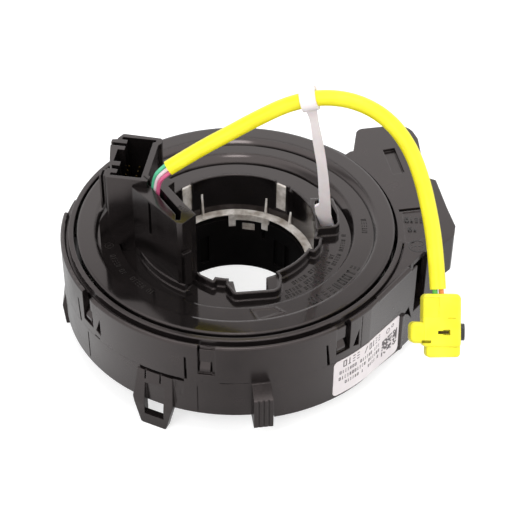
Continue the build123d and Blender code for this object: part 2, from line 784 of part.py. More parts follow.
def wire_cover():
    """The wedge that guides the airbag wires up out of the rotor."""
    body = base_of(outline(cover_corners), cover_z)
    body -= slab(offset(outline(step_pocket), collar_wall + 0.05), 0, collar_z)
    # slot that the wires leave by, open beside the shroud, with a square far end
    lean = degrees(atan2(slot_end[1] - slot_start[1], slot_end[0] - slot_start[0]))
    middle = ((slot_start[0] + slot_end[0]) / 2, (slot_start[1] + slot_end[1]) / 2)
    length = hypot(slot_end[0] - slot_start[0], slot_end[1] - slot_start[1])
    high = 2 * (cover_z - slot_low_z)
    body -= Pos(*middle, cover_z) * Rot(0, 0, lean) * Box(length, slot_width, high)
    body -= Pos(-16.45, -23.9, cover_z) * Box(1.5, 3.5, high)
    # a thin rib runs along the slot, just below its top
    rib = Pos(3.7, -0.85, cover_z - 1.1) * Box(length - 9.4, 0.5, 1.0)
    body += Pos(*middle, 0) * Rot(0, 0, lean) * rib
    # latch slit in the outer face, and the notch its catch springs in
    body -= Pos(-25.3, -16.9, 53.4) * Rot(0, 0, -49.4) * Box(1.2, 2.4, 12.2)
    body -= Pos(-14.0, -27.0, 43.6) * Rot(0, 0, 33) * Box(3.0, 1.6, 14.0)
    # the shroud's corner stands against the cover
    body -= in_shroud(Pos(0, 0, 50) * Box(2 * shroud_right + 0.1, -2 * shroud_front + 0.1, 60))
    return body


def cover_catch():
    """The spring latch that holds the wire cover to the low wall."""
    catch = Pos(-13.9, -26.8, 43.2) * Rot(0, 0, 33) * Box(2.4, 1.1, 12.6)
    return catch + Pos(-14.3, -27.4, 48.9) * Rot(0, 0, 33) * Box(2.4, 1.0, 1.2)


def lead_terminals():
    """Welded tags on which the three wires end, down inside the cover's slot."""
    low, high = slot_low_z + 0.1, 56.4
    tags = [Pos(x, y, (low + high) / 2) * Rot(0, 0, -57.7) * Box(0.8, 0.9, high - low) for x, y in wire_starts]
    return Compound(children=tags)


# ---------------------------------------------------------------- lead
def corner_radii(route):
    """The arc at each corner: as large as its two runs allow."""
    radii = []
    for a, b, c in zip(route, route[1:], route[2:]):
        before, after = Vector(*b) - Vector(*a), Vector(*c) - Vector(*b)
        turn = before.get_angle(after)
        radii.append(0.45 * min(before.length, after.length) / tan(radians(turn) / 2))
    return radii


def tube(route, diameter, name):
    """A round tube along a route of straight runs joined by tangent arcs."""
    radii = corner_radii(route)
    path = FilletPolyline(*route, radius=radii)
    start = Plane(origin=path @ 0, z_dir=path % 0)
    body = sweep(start * Circle(diameter / 2), path=path)
    expected = pi * diameter**2 / 4 * path.length
    smallest = min(radii) / diameter
    print(
        f"{name}: length {path.length:.1f}, radii {[round(r, 1) for r in radii]},"
        f" tightest {smallest:.1f} diameters, volume {body.volume / expected:.3f} of expected"
    )
    return body


wire_starts = ((-24.65, -9.75), (-23.9, -10.95), (-23.1, -12.15))
wire_names = ("wire_green", "wire_white", "wire_pink")
wire_spread = ((-0.86, 0.9), (0.0, 0.0), (0.86, -0.9))


def lead_frame(index, back=1):
    """A lead end: the point, the direction into the sleeve, sideways and upwards."""
    start, ahead = Vector(*lead_route[index]), Vector(*lead_route[index + back])
    along = (ahead - start).normalized()
    across = along.cross(Vector(0, 0, 1)).normalized()
    return start, along, across, across.cross(along)


def wire_route(index):
    """One wire: up out of the cover's slot and over into the sleeve's mouth."""
    x, y = wire_starts[index]
    start, along, across, lift = lead_frame(0)
    mouth = start + across * wire_spread[index][0] + lift * wire_spread[index][1]
    before, inside = mouth - along * 2.0, mouth + along * 2.6
    return [(x, y, 56.5), (x, y, 62.6), tuple(before), tuple(inside)]


def lead_sleeve():
    """The yellow sleeve over the three wires, bored at both ends where they enter."""
    body = tube(lead_route, lead_d, "lead_sleeve")
    for first, second in ((lead_route[0], lead_route[1]), (lead_route[-1], lead_route[-2])):
        axis = (Vector(*second) - Vector(*first)).normalized()
        mouth = Plane(origin=first, z_dir=axis)
        body -= extrude(mouth * Circle(lead_d / 2 - 0.45), 3.6)
        body -= extrude(mouth * Circle(lead_d / 2 - 0.45), -1.0)
    return body


# ---------------------------------------------------------------- airbag connector
plug_centre = (58.75, -56.2, 48.2)
plug_pitch = 47.5
plug_wire_d = 1.5


def in_plug(shape):
    """Places a shape from the plug's own frame: X across, Y towards the lead, Z its face."""
    return Pos(*plug_centre) * Rot(plug_pitch, 0, 0) * shape


def pebble(points, half, rounding):
    """A plate of the given outline, as thick as 2 * half, with both its rims rounded."""
    body = slab(outline(points), -half, half)
    rims = body.faces().sort_by(Axis.Z)[-1].edges() + body.faces().sort_by(Axis.Z)[0].edges()
    return fillet(rims, rounding)


def plug_housing():
    """The right-angle plug: upper wire chamber, cross body with its nose, and lower foot."""
    chamber = pebble([(-5.35, 9.0, 1.5), (5.35, 9.1, 1.5), (5.4, -6.0, 1.2), (-5.35, -5.8, 1.2)], 4.6, 1.0)
    nose = pebble([(-8.8, 1.1, 1.5), (0.0, 1.1, 1.5), (0.0, -4.9, 1.5), (-8.8, -4.9, 1.5)], 4.3, 1.2)
    foot = pebble([(-4.3, -3.0, 1.0), (5.35, -3.0, 1.0), (5.3, -8.7, 1.2), (-4.3, -8.9, 1.2)], 3.9, 1.0)
    shape = chamber + nose + foot
    # shallow recess, step line, contact slot in two widths, and the gap above the foot
    shape -= Pos(-2.9, 5.2, 4.6) * Box(4.2, 5.6, 1.0)
    shape -= Pos(2.7, 2.2, 4.6) * Box(2.2, 0.35, 0.6)
    shape -= Pos(-0.35, -1.75, 4.4) * Box(1.5, 0.9, 4.0)
    shape -= Pos(1.3, -1.75, 4.4) * Box(2.0, 1.5, 4.0)
    shape -= Pos(-4.3, -4.4, 3.6) * Box(2.6, 0.75, 4.0)
    shape -= Pos(5.6, -1.7, 0) * Box(1.6, 5.0, 5.0)
    shape = in_plug(shape)
    for stub in wire_stubs(plug_wire_d / 2 + 0.1, 6.4):
        shape -= stub
    return shape


def plug_lock():
    """The dark secondary lock pressed into the plug's side."""
    lock = fillet(Box(1.8, 4.8, 4.8).edges().filter_by(Axis.X), 1.6)
    return in_plug(Pos(5.75, -1.7, 0) * lock)


def plug_terminals():
    """The contact seen in the plug's slot."""
    return in_plug(Pos(0.6, -1.75, 2.8) * Box(2.9, 0.7, 0.8))


def wire_stubs(radius, reach):
    """Two short round rods from inside the sleeve's end on into the plug."""
    start, along, across, _ = lead_frame(-1, -1)
    origins = [start + across * side + along * 2.6 for side in (-0.88, 0.88)]
    return [extrude(Plane(origin=o, z_dir=along) * Circle(radius), -2.6 - reach) for o in origins]


def plug_wires():
    """The short stretch of wires between the sleeve and the plug."""
    return Compound(children=wire_stubs(plug_wire_d / 2, 6.2))


# ---------------------------------------------------------------- strap
strap_thick = 0.9
strap_origin, strap_top = (28.4, 5.3, 33.0), (20.5, -6.4, 90.0)
loop_reach, loop_wide = 1.2, 4.6
loop_at = 0.381
strap_left = [(-1.3, 56.6), (-0.25, 53.4), (0.12, 42.0), (0.2, 30.3), (-0.3, 20.0), (-1.05, 10.6)]
strap_right = [(2.2, 4.4), (3.02, 19.5), (3.2, 30.0), (3.02, 40.8), (2.65, 50.0), (3.0, 56.6)]
strap_barb = [(-2.45, 9.8), (-2.6, 7.2), (-2.25, 4.9), (-2.0, 3.2), (-1.65, 0.4), (-1.2, -1.6), (-1.0, -3.36), (2.8, -3.87), (2.75, -1.2)]


def retaining_strap():
    """The white strap: a flat strip with a barbed foot in its pocket, and a loop on the lead."""
    up = (Vector(*strap_top) - Vector(*strap_origin)).normalized()
    side = (Vector(1, 0, 0) - up * up.X).normalized()
    plane = Plane(origin=strap_origin, x_dir=side, z_dir=side.cross(up))
    edges = [
        Spline(*strap_left),
        Polyline(strap_left[-1], *strap_barb, strap_right[0]),
        Spline(*strap_right),
        Line(strap_right[-1], strap_left[0]),
    ]
    body = extrude(plane * make_face(edges), strap_thick / 2, both=True)
    lead = FilletPolyline(*lead_route, radius=corner_radii(lead_route))
    around = Plane(origin=lead @ loop_at, z_dir=lead % loop_at)
    body += extrude(around * Circle(lead_d / 2 + loop_reach), loop_wide / 2, both=True)
    # the sleeve passes through the loop
    return body - extrude(around * Circle(lead_d / 2 + 0.15), 5, both=True)


# ---------------------------------------------------------------- label
def label():
    """A thin sticker on the drum's wall that runs on along the wing's straight wall."""
    thick = 0.15
    around = ring(drum_r, drum_r + thick, 4, parting_z, -60, degrees(atan2(wall_start, wall_r)) + tangent_deg + 60)
    straight = wall_prism(0.0, thick, [(wall_start - 0.15, 4), (12.5, 4), (12.5, parting_z), (wall_start - 0.15, parting_z)])
    shape = wall_prism(
        20.0,
        10.0,
        [
            (-18.7, 7.7, 1.5),
            (-18.7, 22.2, 1.5),
            (-2.0, 22.2),
            (11.9, 20.9, 0.8),
            (12.4, 5.3, 1.8),
            (2.9, 6.5),
            (-8.0, 7.4),
        ],
    )
    return (around + straight) & shape


# ---------------------------------------------------------------- write the parts
def main():
    """Builds every piece and writes its file."""
    made = {
        "lower_case": lower_case(),
        "cover_ring": cover_ring(),
        "column_pins": column_pins(),
        "column_airbag_pins": column_airbag_pins(),
        "ribbon_cable": ribbon_cable(),
        "lower_slide_sheet": slide_sheet(floor_z + floor_thick),
        "housing_cable_block": housing_block(),
        "label": label(),
        "rotor_plate": rotor_plate(),
        "index_ring": index_ring(),
        "hub_sleeve": hub_sleeve(),
        "rotor_cable_block": rotor_block(),
        "connector_shroud": connector_shroud(),
        "steering_pins": steering_pins(),
        "wire_cover": wire_cover(),
        "cover_catch": cover_catch(),
        "lead_terminals": lead_terminals(),
        "lead_sleeve": lead_sleeve(),
        "plug_housing": plug_housing(),
        "plug_lock": plug_lock(),
        "plug_terminals": plug_terminals(),
        "plug_wires": plug_wires(),
        "retaining_strap": retaining_strap(),
    }
    for index, name in enumerate(wire_names):
        made[name] = tube(wire_route(index), wire_d, name)
    for name, shape in made.items():
        save(shape, name)


main()
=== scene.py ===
"""Steering clock spring: finishes, lead and wires, moulded and printed marks, light and camera."""

from math import atan2, cos, degrees, radians, sin, sqrt

import bpy
from mathutils import Matrix, Vector


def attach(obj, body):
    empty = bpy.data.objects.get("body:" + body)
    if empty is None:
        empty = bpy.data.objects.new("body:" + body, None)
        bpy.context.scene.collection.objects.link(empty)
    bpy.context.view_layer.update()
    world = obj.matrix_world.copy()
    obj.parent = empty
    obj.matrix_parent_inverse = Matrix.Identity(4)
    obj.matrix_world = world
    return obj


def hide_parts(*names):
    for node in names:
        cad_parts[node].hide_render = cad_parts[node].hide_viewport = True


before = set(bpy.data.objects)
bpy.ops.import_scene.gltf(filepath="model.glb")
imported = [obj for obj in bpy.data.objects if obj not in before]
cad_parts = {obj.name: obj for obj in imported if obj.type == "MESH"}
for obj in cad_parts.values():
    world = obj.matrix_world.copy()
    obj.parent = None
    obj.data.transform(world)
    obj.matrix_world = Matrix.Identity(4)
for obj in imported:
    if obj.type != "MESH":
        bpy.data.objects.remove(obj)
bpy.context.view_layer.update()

MM = 0.001
white = (1, 1, 1, 1)

# ---------------------------------------------------------------- camera
# looks along +Y and down, with a long lens, turned a little about its own axis
elevation, roll = radians(41.8), radians(0.53)
aim = Vector((7.65, 0.0, 22.25)) * MM
distance = 500 * MM
sensor_width, focal_length = 36.0, 108.0

back = Vector((0, -cos(elevation), sin(elevation)))
level_right, level_up = Vector((1, 0, 0)), Vector((0, sin(elevation), cos(elevation)))
right = level_right * cos(roll) + level_up * sin(roll)
above = level_up * cos(roll) - level_right * sin(roll)
camera_data = bpy.data.cameras.new("camera")
camera_data.sensor_width = sensor_width
camera_data.lens = focal_length
camera_data.clip_start = 10 * MM
camera = bpy.data.objects.new("camera", camera_data)
bpy.context.collection.objects.link(camera)
camera.matrix_world = (
    Matrix.Translation(aim + back * distance) @ Matrix((right, above, back)).transposed().to_4x4()
)
bpy.context.scene.camera = camera
bpy.context.scene.view_settings.view_transform = "Standard"


# ---------------------------------------------------------------- shader helpers
def linear(code):
    """An sRGB hex colour as linear red, green, blue and full alpha."""
    channels = [int(code[i : i + 2], 16) / 255 for i in (1, 3, 5)]
    return [c / 12.92 if c <= 0.04045 else ((c + 0.055) / 1.055) ** 2.4 for c in channels] + [1.0]


def add(tree, kind, values=(), links=(), **settings):
    """Adds one shader node with its settings, input values and links, and returns it."""
    made = tree.nodes.new(kind)
    for name, value in settings.items():
        setattr(made, name, value)
    for name, value in dict(values).items():
        made.inputs[name].default_value = value
    for name, socket in dict(links).items():
        tree.links.new(socket, made.inputs[name])
    return made


def ramp(tree, source, start, end, first, last):
    """A value that goes from first to last as the source goes from start to end."""
    limits = {"From Min": start, "From Max": end, "To Min": first, "To Max": last}
    return add(tree, "ShaderNodeMapRange", limits, {"Value": source}).outputs["Result"]


def combine(tree, operation, one, other):
    """The sum or the product of two values."""
    return add(tree, "ShaderNodeMath", (), {0: one, 1: other}, operation=operation).outputs["Value"]


def noise(tree, place, size, detail, roughness=0.5):
    """Noise with features of about one size, in metres."""
    values = {"Scale": 1 / size, "Detail": detail, "Roughness": roughness}
    return add(tree, "ShaderNodeTexNoise", values, {"Vector": place}).outputs["Fac"]


def two_tones(tree, factor, first, second, low=0.35, high=0.7):
    """A drift between two hex colours as factor goes from low to high."""
    drift = add(tree, "ShaderNodeValToRGB", (), {"Fac": factor})
    for stop, place, tone in zip(drift.color_ramp.elements, (low, high), (first, second)):
        stop.position = place
        stop.color = linear(tone)
    return drift.outputs["Color"]


def blank(name):
    """A new material, its node tree with only its output, and that output's surface socket."""
    material = bpy.data.materials.new(name)
    material.use_nodes = True
    tree = material.node_tree
    tree.nodes.clear()
    return material, tree, tree.nodes.new("ShaderNodeOutputMaterial").inputs["Surface"]


# ---------------------------------------------------------------- finishes
def moulded(
    name, tones, gloss, grain, depth, edge=0.15, tint="#ffffff", drift_mm=9.0, subsurface=0.0
):
    """A moulded or extruded plastic: a fine grain, slightly round edges and a slow drift of tone.

    tones are its two hex colours, gloss its middle roughness and how far that drifts, grain the
    texture's size, depth its height and edge the radius on its edges, all three in millimetres.
    tint warms what the skin mirrors, as carbon black in a resin does.
    """
    material, tree, surface = blank(name)
    place = add(tree, "ShaderNodeTexCoord").outputs["Object"]
    drift = noise(tree, place, drift_mm * MM, 3.0, 0.55)
    fine = noise(tree, place, grain * MM, 2.0, 0.6)
    rounded = add(tree, "ShaderNodeBevel", {"Radius": edge * MM}, samples=6)
    bump = add(
        tree,
        "ShaderNodeBump",
        {"Strength": 1.0, "Distance": depth * MM},
        {"Height": fine, "Normal": rounded.outputs["Normal"]},
    )
    middle, swing = gloss
    shader = add(
        tree,
        "ShaderNodeBsdfPrincipled",
        {
            "IOR": 1.5,
            "Specular Tint": linear(tint),
            "Subsurface Weight": subsurface,
            "Subsurface Scale": 1.0 * MM,
        },
        {
            "Base Color": two_tones(tree, drift, *tones),
            "Roughness": ramp(tree, drift, 0.3, 0.7, middle - swing, middle + swing),
            "Normal": bump.outputs["Normal"],
        },
    )
    tree.links.new(shader.outputs["BSDF"], surface)
    return material


def plated(name, colour, roughness):
    """Drawn terminal wire with a plated skin: a metal with fine lines along it."""
    line_wide, line_long, swing = 0.05 * MM, 3 * MM, 0.08
    material, tree, surface = blank(name)
    place = add(tree, "ShaderNodeTexCoord").outputs["Object"]
    stretch = {"Scale": (1 / line_wide, 1 / line_wide, 1 / line_long)}
    along = add(tree, "ShaderNodeMapping", stretch, {"Vector": place})
    lines = noise(tree, along.outputs["Vector"], 1.0, 2.0)
    shader = add(
        tree,
        "ShaderNodeBsdfPrincipled",
        {"Base Color": linear(colour), "Metallic": 1.0},
        {"Roughness": ramp(tree, lines, 0.0, 1.0, roughness - swing, roughness + swing)},
    )
    tree.links.new(shader.outputs["BSDF"], surface)
    return material


# what a black skin mirrors is a little warm, and greyer where the mould was left rough; dull dims
# it further, as painted shade for the deep bore
warm, rough, dull = "#fff0ee", "#a09a9a", "#786e6e"

# glass-filled PBT: a warm black that greys in the light, with a satin spark-eroded skin
housing_pbt = moulded(
    "PBT, black, glass filled, satin mould grain",
    ("#161313", "#1d1919"),
    (0.23, 0.05),
    0.4,
    0.01,
    0.35,
    warm,
)
# unfilled POM from a polished mould: the same black, but it mirrors what stands on it
rotor_pom = moulded(
    "POM, black, polished mould", ("#100e0e", "#161313"), (0.1, 0.03), 0.6, 0.001, 1.1, warm
)
# the bore's lining, which turns on grease and was never polished; its darker tone and dimmed
# reflection are painted shade for the deep bore
bore_pom_painted_shade = moulded(
    "POM, black, unpolished bore", ("#0a0909", "#0f0d0d"), (0.42, 0.06), 0.5, 0.004, 0.2, dull
)
# the upright connector parts, less polished than the plate
shroud_pbt = moulded(
    "PBT, black, semi-gloss mould", ("#100e0e", "#161313"), (0.2, 0.05), 0.5, 0.004, 0.22, warm
)
# the blocks inside the drum, and the plug's lock
inner_pbt = moulded("PBT, black, moulded smooth", ("#151414", "#1b1919"), (0.3, 0.05), 0.5, 0.006)
lock_pbt = moulded(
    "PBT, black, lock, moulded", ("#100f0f", "#181616"), (0.4, 0.05), 0.4, 0.006, 0.3
)
# raised marks: the same plastic where the mould's engraving was left rough; the rotor's marks are
# also painted paler, a painted sheen as of glancing light on them
mark_pom_painted_sheen = moulded(
    "POM, black, engraved mould", ("#1c1a19", "#242120"), (0.5, 0.05), 0.3, 0.004, 0.05, rough
)
mark_pbt = moulded(
    "PBT, black, engraved mould", ("#161414", "#1c1919"), (0.5, 0.05), 0.3, 0.004, 0.05
)
# natural POM: milky, a little brown where it has handled dust
natural_pom = moulded(
    "POM, natural, moulded", ("#94897f", "#e6e1dc"), (0.42, 0.05), 0.5, 0.006, drift_mm=4.0
)
# undyed nylon: light goes a little way into it
strap_nylon = moulded(
    "PA66, natural white, moulded",
    ("#e8dfe1", "#f2ebec"),
    (0.42, 0.06),
    0.6,
    0.006,
    subsurface=0.1,
)
plug_pbt = moulded("PBT, yellow, moulded", ("#dcd214", "#efe736"), (0.42, 0.05), 0.4, 0.008, 0.3)
# soft PVC: the tube has the coarser skin, the wires' insulation a finer one
sleeve_pvc = moulded(
    "PVC, yellow, extruded tube", ("#e4d80f", "#f0e628"), (0.36, 0.05), 0.8, 0.01
)
green_pvc, white_pvc, pink_pvc, leaf_pvc, orange_pvc = (
    moulded(f"PVC, {colour}, extruded", tones, (0.38, 0.05), 0.5, 0.005)
    for colour, tones in (
        ("mint green", ("#52b88c", "#66cda0")),
        ("pale", ("#e0c9cf", "#eedfe3")),
        ("pink", ("#c4557d", "#d76d92")),
        ("green", ("#3f9a3a", "#55b148")),
        ("orange", ("#c86a33", "#d88348")),
    )
)
# the flat cable's film, and the slippery sheet that its edge runs on
cable_pet = moulded("PET film, laminated", ("#2a2826", "#33302d"), (0.3, 0.04), 1.0, 0.006)
slide_ptfe = moulded("PTFE, skived film", ("#d2cfc8", "#dedcd5"), (0.5, 0.05), 1.0, 0.01)
# the sticker, and the greyish print that a hot print head leaves on it
label_film = moulded("PET label, satin", ("#dcd4d6", "#e6dfe1"), (0.4, 0.04), 1.2, 0.002, 0.03)
label_ink = moulded(
    "Thermal ink, grey", ("#3c3537", "#554d4f"), (0.5, 0.04), 0.6, 0.001, 0.03, drift_mm=1.2
)
terminal_tin = plated("Brass, tin plated, drawn", "#b49a62", 0.3)
# a darker plated metal; on the plug's terminals, deep in their slots, this darkness is painted
# shade
terminal_painted_dark = plated("Bronze, dull, stamped", "#4a3d22", 0.45)

node_finish = {
    "lower_case": housing_pbt,
    "cover_ring": housing_pbt,
    "column_pins": terminal_tin,
    "column_airbag_pins": terminal_tin,
    "ribbon_cable": cable_pet,
    "lower_slide_sheet": slide_ptfe,
    "housing_cable_block": inner_pbt,
    "label": label_film,
    "rotor_plate": rotor_pom,
    "index_ring": natural_pom,
    "hub_sleeve": bore_pom_painted_shade,
    "rotor_cable_block": inner_pbt,
    "connector_shroud": shroud_pbt,
    "steering_pins": terminal_painted_dark,
    "wire_cover": shroud_pbt,
    "cover_catch": shroud_pbt,
    "lead_terminals": terminal_tin,
    "plug_housing": plug_pbt,
    "plug_lock": lock_pbt,
    "plug_terminals": terminal_painted_dark,
    "retaining_strap": strap_nylon,
}
for node_name, finish in node_finish.items():
    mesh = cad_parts[node_name].data
    mesh.materials.clear()
    mesh.materials.append(finish)

# ---------------------------------------------------------------- lead and wires
# the sleeve's route in millimetres, as the solid's
lead_route = [
    (-19.6, -12.6, 69.4),
    (-11.0, -10.3, 74.4),
    (-2.1, -8.2, 78.8),
    (6.7, -6.8, 83.8),
    (15.7, -6.2, 88.7),
    (25.4, -6.8, 91.7),
    (35.5, -9.0, 91.6),
    (44.4, -13.0, 88.2),
    (50.5, -18.8, 82.3),
    (53.9, -26.0, 75.9),
    (55.9, -34.1, 70.0),
    (57.2, -42.4, 64.2),
    (57.95, -49.7, 56.25),
]
sleeve_d, sleeve_length = 4.6, 122.9
wire_d, plug_wire_d = 1.2, 1.5
wire_low_z, wire_bend_z = 56.5, 62.6  # down in the cover's slot, and where a wire starts to lean
wire_depth = 2.6  # how far a wire goes into the sleeve


def cord_curve(name, route, diameter, finish, roundness=6):
    """A cord as a NURBS spline with its route's points, in millimetres, as control points."""
    data = bpy.data.curves.new(name, "CURVE")
    data.dimensions = "3D"
    data.bevel_depth = diameter / 2 * MM
    data.bevel_resolution = roundness
    data.resolution_u = 16
    data.use_fill_caps = True
    spline = data.splines.new("NURBS")
    spline.points.add(len(route) - 1)
    for point, place in zip(spline.points, route):
        point.co = (*(c * MM for c in place), 1.0)
    spline.order_u = 3
    spline.use_endpoint_u = True
    data.materials.append(finish)
    curve = bpy.data.objects.new(name, data)
    bpy.context.collection.objects.link(curve)
    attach(curve, "rotor")
    return curve


def lead_end(index, neighbour):
    """One end of the lead: its point, the direction into the sleeve, sideways and upwards."""
    start = Vector(lead_route[index])
    inwards = (Vector(lead_route[neighbour]) - start).normalized()
    sideways = inwards.cross(Vector((0, 0, 1))).normalized()
    return start, inwards, sideways, sideways.cross(inwards)


sleeve = cord_curve("sleeve_tube", lead_route, sleeve_d, sleeve_pvc, 10)
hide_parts("lead_sleeve")

# three wires rise from the cover's slot and lean over into the sleeve's mouth
start, inwards, sideways, upwards = lead_end(0, 1)
for colour, finish, (x, y), (side, rise) in (
    ("green", green_pvc, (-24.65, -9.75), (-0.86, 0.9)),
    ("white", white_pvc, (-23.9, -10.95), (0.0, 0.0)),
    ("pink", pink_pvc, (-23.1, -12.15), (0.86, -0.9)),
):
    mouth = start + sideways * side + upwards * rise
    wire = cord_curve(
        f"core_{colour}",
        [
            (x, y, wire_low_z),
            (x, y, wire_bend_z),
            mouth - inwards * 2.0,
            mouth + inwards * wire_depth,
        ],
        wire_d,
        finish,
    )
    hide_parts(f"wire_{colour}")

# two wires leave the sleeve side by side for the plug
start, inwards, sideways, upwards = lead_end(-1, -2)
plug_depth = 6.2
for name, finish, side in (
    ("plug_core_green", leaf_pvc, -0.88),
    ("plug_core_orange", orange_pvc, 0.88),
):
    inner = start + sideways * side + inwards * wire_depth
    outer = start + sideways * side - inwards * plug_depth
    middle = (inner + outer) / 2 + upwards * 0.05
    wire = cord_curve(name, [inner, middle, outer], plug_wire_d, finish)
    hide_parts("plug_wires")


# ---------------------------------------------------------------- pieces and marks
def finish_piece(piece, material, body):
    """Gives a modelled piece its finish and body."""
    piece.data.materials.clear()
    piece.data.materials.append(material)
    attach(piece, body)


def strokes(name, bars, thick):
    """One mesh of flat bars, each (x, y, z, width, length, turn) in millimetres and degrees."""
    bpy.ops.mesh.primitive_cube_add(size=1, location=(0, 0, 0))
    piece = bpy.context.object
    piece.name = name
    bpy.ops.object.mode_set(mode="EDIT")
    bpy.ops.mesh.select_all(action="SELECT")
    bpy.ops.mesh.delete(type="VERT")
    for x, y, z, width, length, turn in bars:
        bpy.ops.mesh.primitive_cube_add(
            size=1,
            location=(x * MM, y * MM, z * MM),
            rotation=(0, 0, radians(turn)),
            scale=(width * MM, length * MM, thick * MM),
        )
    bpy.ops.object.mode_set(mode="OBJECT")
    return piece


def tokens(length, tall, wide, bold, group):
    """Flat bars (along, up, width, height) for a row of boxes, ticks and dashes: no letters.

    A token is left out at the end of each group, which leaves a gap.
    """
    bars, pitch, edge = [], wide + 2.2 * bold, tall / 2 - bold / 2
    for i in range(int(length / pitch)):
        if i % group == group - 1:
            continue
        left = i * pitch + bold
        middle = left + wide / 2
        top, bottom = (middle, edge, wide, bold), (middle, -edge, wide, bold)
        bars += (
            [(left, 0, bold, tall), (left + wide, 0, bold, tall), top, bottom],
            [(left + wide * 0.15, 0, bold, tall), (left + wide * 0.85, 0, bold, tall)],
            [top, (middle, 0, wide, bold), bottom],
            [(middle, 0, bold, tall), bottom],
        )[(i * 7 + i // 3) % 4]
    return bars


def arc_row(radius, start, end, z, tall, wide, bold, group):
    """Tokens set round the steering axis at a radius, between two angles in degrees."""
    bars = []
    for u, v, width, height in tokens(radians(end - start) * radius, tall, wide, bold, group):
        deg, r = start + degrees(u / radius), radius + v
        bars.append((r * cos(radians(deg)), r * sin(radians(deg)), z, height, width, deg))
    return bars


def straight_row(x, y, z, length, tall, wide, bold, group, turn=0.0):
    """Tokens set along a straight line from (x, y)."""
    c, s = cos(radians(turn)), sin(radians(turn))
    return [
        (x + u * c - v * s, y + u * s + v * c, z, width, height, turn)
        for u, v, width, height in tokens(length, tall, wide, bold, group)
    ]


def dial(x, y, z, radius, angles, width, length):
    """Bars on a circle round (x, y), each square to its radius."""
    return [
        (x + radius * cos(radians(deg)), y + radius * sin(radians(deg)), z, width, length, deg)
        for deg in angles
    ]


# ---------------------------------------------------------------- slopes on the plate's steps
front_share = 0.3  # how much of a slope's width is left at the front


def step_fillet(name, profile):
    """A soft slope over one step of the plate: full at the back, drawn in to the step in front.

    profile is its section as (radius, height), and its second point lies on the step's edge.
    """
    count, step_r = len(profile), profile[1][0]
    # a ring with the right faces, whose vertices then move to the section
    bpy.ops.mesh.primitive_torus_add(
        major_segments=144, minor_segments=count, major_radius=40 * MM, minor_radius=1 * MM
    )
    ring = bpy.context.object
    ring.name = ring.data.name = name
    for vertex in ring.data.vertices:
        angle = atan2(vertex.co.y, vertex.co.x)
        backness = min(1.0, max(0.0, (sin(angle) + 0.2) / 0.9))
        share = front_share + (1 - front_share) * backness
        full_r, z = profile[vertex.index % count]
        radius = step_r - (step_r - full_r) * share
        vertex.co = Vector((radius * cos(angle), radius * sin(angle), z)) * MM
    bpy.ops.object.shade_smooth()
    finish_piece(ring, rotor_pom, "rotor")


step_fillet(
    "middle_fillet",
    [
        (44.5, 37.3),
        (44.5, 37.8),
        (44.1, 37.79),
        (43.5, 37.63),
        (42.9, 37.27),
        (42.3, 36.88),
        (41.8, 36.62),
        (41.3, 36.49),
        (43.2, 36.1),
    ],
)
step_fillet(
    "inner_fillet",
    [
        (37.8, 36.0),
        (37.8, 36.5),
        (37.3, 36.48),
        (36.6, 36.2),
        (35.9, 35.7),
        (35.2, 35.12),
        (34.6, 34.65),
        (33.9, 34.29),
        (36.4, 33.9),
    ],
)

# ---------------------------------------------------------------- moulded marks
middle_top, inner_top, cover_top, wing_top = 36.5, 34.3, 60.5, 36.5

# rows on the rotor's two lower rings: radius, first and last angle, height, and the tokens' size
rotor_rows = (
    (40.4, -159.5, -144.5, middle_top, 1.7, 0.75, 0.22, 6),
    (39.6, -142.0, -127.5, middle_top, 1.8, 0.75, 0.22, 6),
    (33.9, -63.0, -1.0, inner_top, 1.3, 0.6, 0.26, 6),
    (32.0, -61.0, -18.0, inner_top, 1.3, 0.6, 0.26, 6),
    (29.8, -54.0, -15.0, inner_top, 1.3, 0.6, 0.26, 6),
    (41.3, -57.0, -25.5, middle_top, 2.9, 1.3, 0.55, 20),
    (40.4, -4.0, 7.0, middle_top, 1.7, 0.85, 0.26, 6),
)
rotor_bars = [bar for row in rotor_rows for bar in arc_row(*row)]
# a turned date dial left of the rows
dial_x, dial_y = -39.1, -9.9
rotor_bars += dial(dial_x, dial_y, middle_top, 1.25, range(0, 360, 30), 0.22, 0.66)
rotor_bars.append((dial_x, dial_y, middle_top, 1.2, 0.25, 40))
finish_piece(strokes("rotor_marks", rotor_bars, 0.16), mark_pom_painted_sheen, "rotor")

cover_bars = straight_row(-16.6, -19.3, cover_top, 4.4, 1.1, 0.55, 0.2, 9, -38.0)
finish_piece(strokes("cover_marks", cover_bars, 0.12), mark_pom_painted_sheen, "rotor")

# the wing's top: two short rows, and a round date dial with an inner ring and two dots
wing_bars = straight_row(53.2, 3.9, wing_top, 6.4, 2.0, 0.95, 0.26, 9)
wing_bars += straight_row(53.9, -0.7, wing_top, 3.2, 1.6, 0.95, 0.26, 9)
dial_x, dial_y = 56.4, -8.8
wing_bars += dial(dial_x, dial_y, wing_top, 2.6, range(0, 360, 15), 0.28, 0.72)
inner_angles = (20, 65, 115, 160, 200, 245, 295, 340)
wing_bars += dial(dial_x, dial_y, wing_top, 1.8, inner_angles, 0.5, 0.24)
wing_bars += [(x, dial_y, wing_top, 0.9, 0.5, 0) for x in (55.7, 57.2)]
finish_piece(strokes("wing_marks", wing_bars, 0.12), mark_pbt, "housing")

# ---------------------------------------------------------------- label print
# modelled flat, as (along the wall, height), then laid on the label: round on the drum, flat on
# the wing
drum_r, wall_r, tangent = 55.0, 54.8, radians(-37.0)
label_thick, print_thick = 0.15, 0.02
wall_out = Vector((cos(tangent), sin(tangent), 0))
wall_along = Vector((-sin(tangent), cos(tangent), 0))

